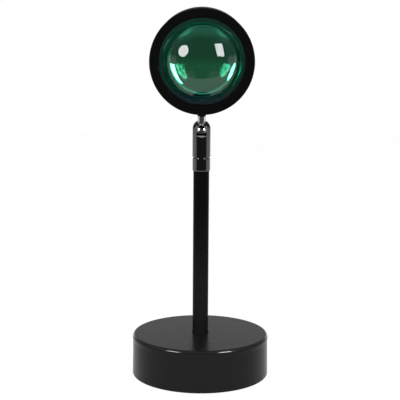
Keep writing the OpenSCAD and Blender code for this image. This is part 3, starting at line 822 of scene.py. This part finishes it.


# %% [markdown]
# ## Painted and anodised black
#
# Three blacks meet on this lamp, and they differ in their grain and gloss. The
# base is sprayed enamel: a satin skin with a slight orange peel, a few specks
# of dust on top and a shinier bend, where the spray is thickest. The pole is
# the same enamel, glossier and blacker, and its colour is painted paler towards
# its foot: painted light from the base and the table below it. The head is
# anodised after blasting, matt, with a fine even grain.


# %% Satin enamel
def enamel(name, rough, peel, level, gloss, dust=0.0, foot=0.0):
    """Black enamel: peel is the depth of its orange peel in mm, and dust the
    share of the pale specks that lie on surfaces that face up, where rubbed
    streaks are also a little smoother. Foot is painted light: surfaces that
    don't face straight up are painted paler by foot, from 125 mm above the
    table down to 50 mm, in place of the light that the base and the table
    throw up onto the pole. A second, more mirroring coat lies on the base's
    bend, more than 46.7 mm from the pole's middle and more than 27.8 mm up."""
    finish = Finish(name)
    where = finish.place()
    facing_up = finish.parts(finish.node("ShaderNodeNewGeometry", output="Normal"))[2]
    up = finish.step(facing_up, 0.75, 0.98)
    x, y, z = finish.parts(where)
    radius = (x * x + y * y) ** 0.5
    patches = finish.noise(where, 14.0, 3.0)
    fine = finish.noise(where, 0.35, 2.0)
    waves = finish.noise(where, 1.6, 1.0)
    specks = finish.step(finish.noise(where, 0.5, 0.0), 0.79, 0.83) * up * dust
    scratch = finish.noise(finish.place(turn=(0, 0, 0.6), stretch=(1, 0.04, 1)), 0.25, 1.0)
    rubbed = finish.step(scratch, 0.66, 0.75) * up
    level_face = finish.step(facing_up, 0.97, 0.998)
    # Painted light: low down, faces that don't look straight up get a paler colour in place
    # of light thrown up from the base and table.
    low = finish.step(z, 125 * MM, 50 * MM)
    painted_foot_light = finish.blend(low, grey(level), grey(level + foot))
    paint = finish.blend(level_face, painted_foot_light, grey(level))
    bend = finish.step(radius, 46.7 * MM, 47.1 * MM) * finish.step(z, 27.8 * MM, 28.2 * MM)
    shader = finish.surface(
        base_color=finish.blend(specks, paint, grey(0.16, 0.05)),
        roughness=rough + (patches - 0.5) * 0.08 - rubbed * 0.05 + specks * 0.3,
        normal=finish.bump(fine * 0.25 + waves * 0.75, peel),
        specular_ior_level=gloss,
        coat_weight=bend,
        coat_roughness=0.1,
        coat_ior=1.75,
    )
    return finish.done(shader)


def lens_place(finish):
    """Coordinates about the lens axis: y runs back along it from the point
    above the ball, x is the side and z the height over it."""
    middle = tipped(0, 0, BALL_Z + AXIS_ABOVE_BALL)
    shift = finish.place(centre=tuple(-v * MM for v in middle))
    inputs = {"Vector": shift, "Rotation": (-TIP, 0, 0)}
    return finish.node("ShaderNodeMapping", {"vector_type": "POINT"}, inputs)


def anodised(name, level=0.003, rough=0.55, gloss=0.05):
    """Blasted and anodised aluminium: a fine even grain, faint turning marks
    that run round the lens axis, and the bezel's front edge rubbed a little
    paler in places."""
    finish = Finish(name)
    x, along, z = finish.parts(lens_place(finish))
    radius = (x * x + z * z) ** 0.5
    grain = finish.noise(finish.place(), 0.12, 2.0)
    patches = finish.noise(finish.place(), 9.0, 3.0)
    profile = finish.node("ShaderNodeCombineXYZ", {}, {0: radius, 1: along, 2: 0.0})
    ridges = finish.noise(profile, 0.3, 2.0)
    outmost = finish.step(radius, 34.2 * MM, 34.5 * MM)
    foremost = finish.step(along, -29.2 * MM, -29.8 * MM)
    rubbed = outmost * foremost * finish.step(patches, 0.45, 0.7)
    shader = finish.surface(
        base_color=finish.blend(rubbed * 0.35, grey(level), grey(level * 5)),
        roughness=rough + (patches - 0.5) * 0.1 + (grain - 0.5) * 0.1,
        normal=finish.bump(grain * 0.7 + ridges * 0.3, 0.012),
        specular_ior_level=gloss,
    )
    return finish.done(shader)


base_enamel = enamel("satin black enamel", 0.27, 0.0006, 0.012, 0.1, dust=0.15)
# The pole's foot value is painted light from the base and the table.
pole_enamel = enamel("glossy black enamel", 0.2, 0.001, 0.005, 0.015, foot=0.0085)
head_anodised = anodised("blasted black anodising")
fin_anodised = anodised("smooth black anodising", level=0.009, rough=0.4, gloss=0.3)

# %% [markdown]
# ## Polished metal
#
# The ball and its neck are bright chrome, the cup and the sleeve are polished
# and plated nearly black. Turned and polished metal is never a perfect mirror:
# the lathe leaves rings too fine to see one by one, and they draw a highlight
# out along the part. The lower ball is painted near black: painted shade where
# it sits down in the cup, which also takes out the floor's reflection there.


# %% Plating over turned steel
def plated(name, colour, rough, spread=0.03, wear=0.2, dent=0.0002, rings=0.0, painted_shade=0.0):
    """Plated metal. The turning rings are noise of the height alone, so they
    are the same all round, and show in the gloss; soft blotches of handling
    and a few scuffs join them. The relief is dent mm deep in the blotches and
    rings mm in the rings. Painted shade darkens what lies lower than about a
    millimetre below the ball's centre, where the ball sits down in the cup,
    and takes out its reflection there."""
    finish = Finish(name)
    height = finish.parts(finish.place())[2]
    line = finish.node("ShaderNodeCombineXYZ", {}, {0: 0.0, 1: 0.0, 2: height})
    ring = finish.noise(line, 0.3, 3.0)
    hands = finish.noise(finish.place(), 3.0, 3.0)
    scuffs = finish.step(finish.noise(finish.place(stretch=(1, 1, 6)), 0.8, 2.0), 0.62, 0.8)
    # Painted shade: below the ball's centre the colour goes to black, where the ball sits
    # in the cup.
    painted_shade_mask = finish.step(height, (BALL_Z - 0.8) * MM, (BALL_Z - 1.3) * MM) * painted_shade
    shader = finish.surface(
        base_color=finish.blend(hands * 0.1 + painted_shade_mask * 0.9, colour, grey(0.0)),
        metallic=1.0,
        roughness=rough + (ring + hands - 1) * spread + scuffs * wear * 0.2,
        normal=finish.bump(hands * dent + ring * rings, 1.0),
    )
    return finish.done(shader)


bright_chrome = plated("bright chrome", (0.62, 0.63, 0.65, 1), 0.06, rings=0.04, painted_shade=1.0)
black_chrome = plated("black chrome", (0.1, 0.1, 0.104, 1), 0.1)
milled = plated("milled steel", (0.75, 0.75, 0.75, 1), 0.65, spread=0.1, wear=1.0)
zinc = plated("zinc plated steel", (0.55, 0.56, 0.58, 1), 0.32, dent=0.002)
spring_steel = plated("spring steel", (0.4, 0.4, 0.41, 1), 0.25)
brass = plated("brass", (0.65, 0.48, 0.2, 1), 0.22, dent=0.002)
screw_black = plated("blackened screws", (0.05, 0.05, 0.052, 1), 0.35, dent=0.002)

# %% [markdown]
# ## Glass and its film
#
# Glass is one number, its index of refraction, and almost nothing else: a few
# specks of dust and the ground edge of the flange. The film behind it mirrors
# green. A little of what lies behind still shows through, which the shader's
# alpha gives without a second layer.


# %% Optical glass
def optical_glass(name, index, tint):
    """Clear glass. Its flange has a ground edge, rough where the radius from
    the lens axis is near the rim, and a few dust specks scatter light."""
    finish = Finish(name)
    x, _, z = finish.parts(lens_place(finish))
    radius = (x * x + z * z) ** 0.5
    ground = finish.step(radius, 29.2 * MM, 29.6 * MM)
    dust = finish.step(finish.noise(finish.place(), 0.3, 0.0), 0.8, 0.84)
    waves = finish.noise(finish.place(), 6.0, 0.0)
    shader = finish.surface(
        base_color=tint,
        transmission_weight=1.0,
        ior=index,
        roughness=ground * 0.35 + dust * 0.25,
        normal=finish.bump(waves, 0.0004),
    )
    return finish.done(shader)


def green_film(name):
    """A mirror that is green in the middle, bluer towards the rim, where light
    meets it at a slant, and bluest low down. From 19 mm out a share of it is
    milky, most of all high up, and drawn in fine rings. Behind the flange it
    is half as bright. It lets a small share of the light through."""
    finish = Finish(name)
    x, _, z = finish.parts(lens_place(finish))
    radius = (x * x + z * z) ** 0.5
    edge = finish.step(radius, 8 * MM, 24 * MM)
    low = finish.step(z, -12 * MM, -26 * MM)
    high = finish.step(z, 0.0, 20 * MM)
    blotch = finish.noise(finish.place(), 5.0, 2.0)
    line = finish.node("ShaderNodeCombineXYZ", {}, {0: radius, 1: 0.0, 2: 0.0})
    rings = finish.noise(line, 0.5, 2.0)
    milk = 0.1 + high * 0.18 + low * 0.08
    milky = finish.step(radius, 18.5 * MM, 20.5 * MM) * milk * (rings * 2)
    teal = finish.blend(edge, (0.06, 0.66, 0.3, 1), (0.05, 0.6, 0.4, 1))
    colour = finish.blend(low, teal, (0.14, 0.34, 0.5, 1))
    flange = finish.step(radius, 25.0 * MM, 25.4 * MM)
    shader = finish.surface(
        base_color=finish.blend(flange * 0.5, colour, grey(0.0)),
        metallic=1.0 - milky,
        roughness=0.015 + blotch * 0.02,
        alpha=0.86 + edge * 0.1,
    )
    return finish.done(shader)


lens_glass = optical_glass("moulded optical glass", 1.49, (0.93, 1.0, 0.97, 1))
condenser_glass = optical_glass("condenser glass", 1.49, (0.97, 1.0, 0.98, 1))
film = green_film("green mirror film")

# %% [markdown]
# ## Rubber, plastic and the rest
#
# Rubber and moulded plastic are rough in the small: a fine pebble grain keeps
# them from looking like paint. The casting in the base has the coarse skin of
# sand, and the LED's board is white lacquer with its yellow phosphor on top.


# %% Moulded and cast finishes
def moulded(name, colour, rough, grain, depth):
    """A coloured skin with a pebble grain, and paler where dust has settled."""
    finish = Finish(name)
    where = finish.place()
    pebble = finish.noise(where, grain, 3.0)
    cloud = finish.noise(where, grain * 30, 3.0)
    dusty = tuple(c * 0.6 + 0.03 for c in colour[:3]) + (1.0,)
    shader = finish.surface(
        base_color=finish.blend(finish.step(cloud, 0.5, 0.8) * 0.4, colour, dusty),
        roughness=rough + (pebble - 0.5) * 0.2,
        normal=finish.bump(pebble, depth),
        specular_ior_level=0.4,
    )
    return finish.done(shader)


black_rubber = moulded("black rubber", (0.012, 0.012, 0.012, 1), 0.7, 0.2, 0.02)
foam_foot = moulded("foam rubber foot", (0.018, 0.018, 0.019, 1), 0.9, 0.35, 0.08)
black_plastic = moulded("black plastic", (0.012, 0.012, 0.013, 1), 0.45, 0.15, 0.01)
cone_paint = moulded("matt paint of the cone", (0.02, 0.021, 0.022, 1), 0.6, 0.25, 0.01)
seat_nylon = moulded("black nylon", (0.02, 0.02, 0.02, 1), 0.4, 0.2, 0.006)
cast_iron = moulded("cast iron", (0.06, 0.055, 0.05, 1), 0.65, 0.9, 0.12)
plate_paint = moulded("painted plate", (0.015, 0.015, 0.016, 1), 0.4, 0.3, 0.008)
board_lacquer = moulded("white board lacquer", (0.75, 0.75, 0.72, 1), 0.35, 0.3, 0.004)
phosphor = moulded("yellow phosphor", (0.8, 0.62, 0.06, 1), 0.45, 0.12, 0.01)

# %% [markdown]
# ## Which part has which finish
#
# The new pieces take their finish here, and so do the measured parts that stay
# as they are, down to the nuts that nobody sees.

# %% Dress every part
FINISHES = {
    base_enamel: [base_cup],
    pole_enamel: [pole, foot_washer],
    head_anodised: [bezel, "head_barrel"],
    fin_anodised: ["heat_sink", "rear_cover"],
    black_chrome: [sleeve, swivel_cup],
    bright_chrome: [ball_and_neck],
    lens_glass: [big_lens],
    film: [lens_film],
    condenser_glass: [condenser],
    cone_paint: [light_cone],
    black_rubber: [lead_grommet, "lens_gasket"],
    foam_foot: ["foot_pad"],
    black_plastic: ["condenser_holder"],
    seat_nylon: ["ball_seat"],
    cast_iron: ["base_weight"],
    plate_paint: ["base_plate"],
    board_lacquer: ["led_board"],
    phosphor: ["led_emitter"],
    zinc: [
        "plate_screws",
        "pole_nut",
        "pole_washer",
        "lower_nipple",
        "upper_nipple",
        "stud_washer",
    ],
    spring_steel: ["snap_ring", "spring_washers"],
    brass: ["stud_nut"],
    screw_black: ["cover_screws", "board_screws"],
}
for finish_block, wearers in FINISHES.items():
    for wearer in wearers:
        worn_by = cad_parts[wearer] if isinstance(wearer, str) else wearer
        if len(worn_by.data.materials) == 0:
            worn_by.data.materials.append(None)
        worn_by.data.materials[0] = finish_block
swivel_cup.data.materials[1] = milled
print(sum(len(w) for w in FINISHES.values()), "parts wear", len(FINISHES), "finishes")
milled_faces = sum(face.material_index for face in swivel_cup.data.polygons)
print(milled_faces, "faces of the cup are milled")

# %% [markdown]
# ## The camera
#
# The camera stands 62 cm in front of the lamp, level with the lower half of the
# head, and looks slightly down. It leans by a third of a degree, as a hand-set
# camera does.

# %% Set up the camera
camera = bpy.data.objects.new("camera", bpy.data.cameras.new("camera"))
bpy.context.scene.collection.objects.link(camera)
bpy.context.scene.camera = camera
camera.data.lens, camera.data.sensor_width = 80.46, 36.0
camera.data.clip_start, camera.data.clip_end = 0.01, 20.0
camera_spot = Vector((-0.76, -622.0, 206.0)) * MM
look_down, lean = math.radians(7.49), math.radians(0.37)
camera.matrix_world = (
    Matrix.Translation(camera_spot)
    @ Matrix.Rotation(math.pi / 2 - look_down, 4, "X")
    @ Matrix.Rotation(lean, 4, "Z")
)
print("the camera looks down by", round(math.degrees(look_down), 2), "degrees")

# %% [markdown]
# ## The studio
#
# A shiny object shows its room. There are two softboxes, an eight-sided one to
# the left and an oblong one to the right, a white floor that ends in front of
# the lamp, and a room by direction alone: dim behind the camera, white at the
# sides and behind the lamp. Mirrors and glass see the softboxes brighter than
# matt surfaces do, and they alone see the room in detail. The floor keeps a
# share of its own light for the camera and the mirrors, so that it stays white
# and still shows the shadow.

# %% Softboxes
BOX_DISTANCE = 1000
BOX_MIRRORED, BOX_CAST = 17.0, 8.0


def light_path(finish, kind):
    """1 for rays of this kind, such as those that leave the camera, else 0."""
    return finish.node("ShaderNodeLightPath", output=f"Is {kind} Ray")


def mirrored(finish):
    """1 where a mirror or a glass looks, else 0."""
    glossy = light_path(finish, "Glossy")
    return glossy.math("MAXIMUM", glossy, light_path(finish, "Transmission"))


def softbox(name, azimuth, elevation, half_width, half_height, sides):
    """A flat lamp a metre from the lens, turned to it, and clear from behind.
    Its outline has so many sides; they touch an ellipse of the two halves,
    which for four sides makes a rectangle."""
    aim = np.array(tipped(0, -30, BALL_Z + AXIS_ABOVE_BALL))
    az, el = math.radians(azimuth), math.radians(elevation)
    flat = math.cos(el)
    back = np.array([math.sin(az) * flat, -math.cos(az) * flat, math.sin(el)])
    across = np.array([math.cos(az), math.sin(az), 0.0])
    upward = np.cross(across, -back)
    upward = upward * np.sign(upward[2])
    angle = np.radians((np.arange(sides) + 0.5) * 360 / sides)[:, None]
    reach = 1 / math.cos(math.pi / sides)
    wide, tall = half_width * np.cos(angle) * across, half_height * np.sin(angle) * upward
    corners = aim + BOX_DISTANCE * back + reach * (wide + tall)
    mesh = bpy.data.meshes.new(name)
    mesh.from_pydata((corners * MM).tolist(), [], [list(range(sides))])
    if mesh.polygons[0].normal.dot(Vector(back)) > 0:
        mesh.flip_normals()
    box = add_piece(name, mesh)
    finish = Finish(name)
    facing = finish.node("ShaderNodeNewGeometry", output="Backfacing")
    power = BOX_CAST + mirrored(finish) * (BOX_MIRRORED - BOX_CAST)
    glow = finish.node("ShaderNodeEmission", {}, {"Color": power, "Strength": 1.0})
    clear = finish.node("ShaderNodeBsdfTransparent")
    shader = finish.node("ShaderNodeMixShader", {}, {0: facing, 1: glow, 2: clear})
    mesh.materials.append(finish.done(shader))
    box.visible_camera = False


softbox("left_softbox", -49, 19.5, 218, 224, 8)
softbox("right_softbox", 47, 22, 173, 252, 4)

# %% The floor
OWN_SHARE, OWN_LIGHT = 0.85, 1.1


def floor_sheet(front, back, half_width):
    """White paper at the height 0. Cameras and mirrors see OWN_SHARE of it as
    a light of its own, and the rest as paper."""
    mesh = bpy.data.meshes.new("floor")
    near = [(-half_width, front), (half_width, front)]
    far = [(half_width, back), (-half_width, back)]
    mesh.from_pydata([(x * MM, y * MM, 0.0) for x, y in near + far], [], [(0, 1, 2, 3)])
    finish = Finish("white floor")
    camera_ray = light_path(finish, "Camera")
    seen = camera_ray.math("MAXIMUM", camera_ray, mirrored(finish))
    grain = finish.noise(finish.place(), 2.0, 3.0)
    white = finish.blend(grain, grey(0.8), grey(0.82))
    paper = finish.surface(base_color=white, roughness=0.7, specular_ior_level=0.1)
    own = {"Color": grey(1.0), "Strength": OWN_LIGHT}
    glow = finish.node("ShaderNodeEmission", {}, own)
    mixed = {0: seen * OWN_SHARE, 1: paper, 2: glow}
    shader = finish.node("ShaderNodeMixShader", {}, mixed)
    mesh.materials.append(finish.done(shader))
    sheet = add_piece("floor", mesh)


floor_sheet(-230, 3000, 2500)

# %% The room
EVEN_LIGHT = 0.45


def room():
    """The light by its direction. Aside is the angle from straight in front,
    to either side, and above the angle over the level, in degrees. In front it
    is dim, with a paler patch of table low down on each side. From 62 degrees
    aside on it is white, up to a little above the level, and 0.8 darker higher
    up, but less dark straight behind the lamp. A dark flag on each side, from
    100 to 152 degrees, halves it. Only mirrors and glass see this: matt
    surfaces get an even light, and the camera sees white."""
    finish = Finish("studio", world=True)
    x, y, z = finish.parts(finish.node("ShaderNodeTexCoord", output="Generated"))
    right = x.math("ARCTAN2", x, 0 - y) * math.degrees(1)
    aside = right.math("ABSOLUTE", right)
    above = z.math("ARCSINE", z) * math.degrees(1)
    patch = finish.step(aside, 16, 28) * finish.step(aside, 52, 44)
    table = patch * finish.step(above, -24, -31)
    front = 0.07 + 0.05 * finish.step(above, -2, 8) + 0.3 * table
    sides = finish.step(aside, 62, 74) * finish.step(above, -13, -9)
    flags = finish.step(aside, 100, 108) * finish.step(aside, 152, 146)
    behind = finish.step(aside, 146, 152) * finish.step(above, 50, 35)
    high = finish.step(above, 2, 12) * (0.8 - behind * 0.37)
    level = front + sides * ((1 - flags * 0.5) * (1 - high) - front)
    light = EVEN_LIGHT + mirrored(finish) * (level - EVEN_LIGHT)
    colour = finish.blend(light_path(finish, "Camera"), light, grey(1.0))
    inputs = {"Color": colour, "Strength": 1.0}
    return finish.done(finish.node("ShaderNodeBackground", {}, inputs))


bpy.context.scene.world = room()
bpy.context.scene.view_settings.view_transform = "Standard"
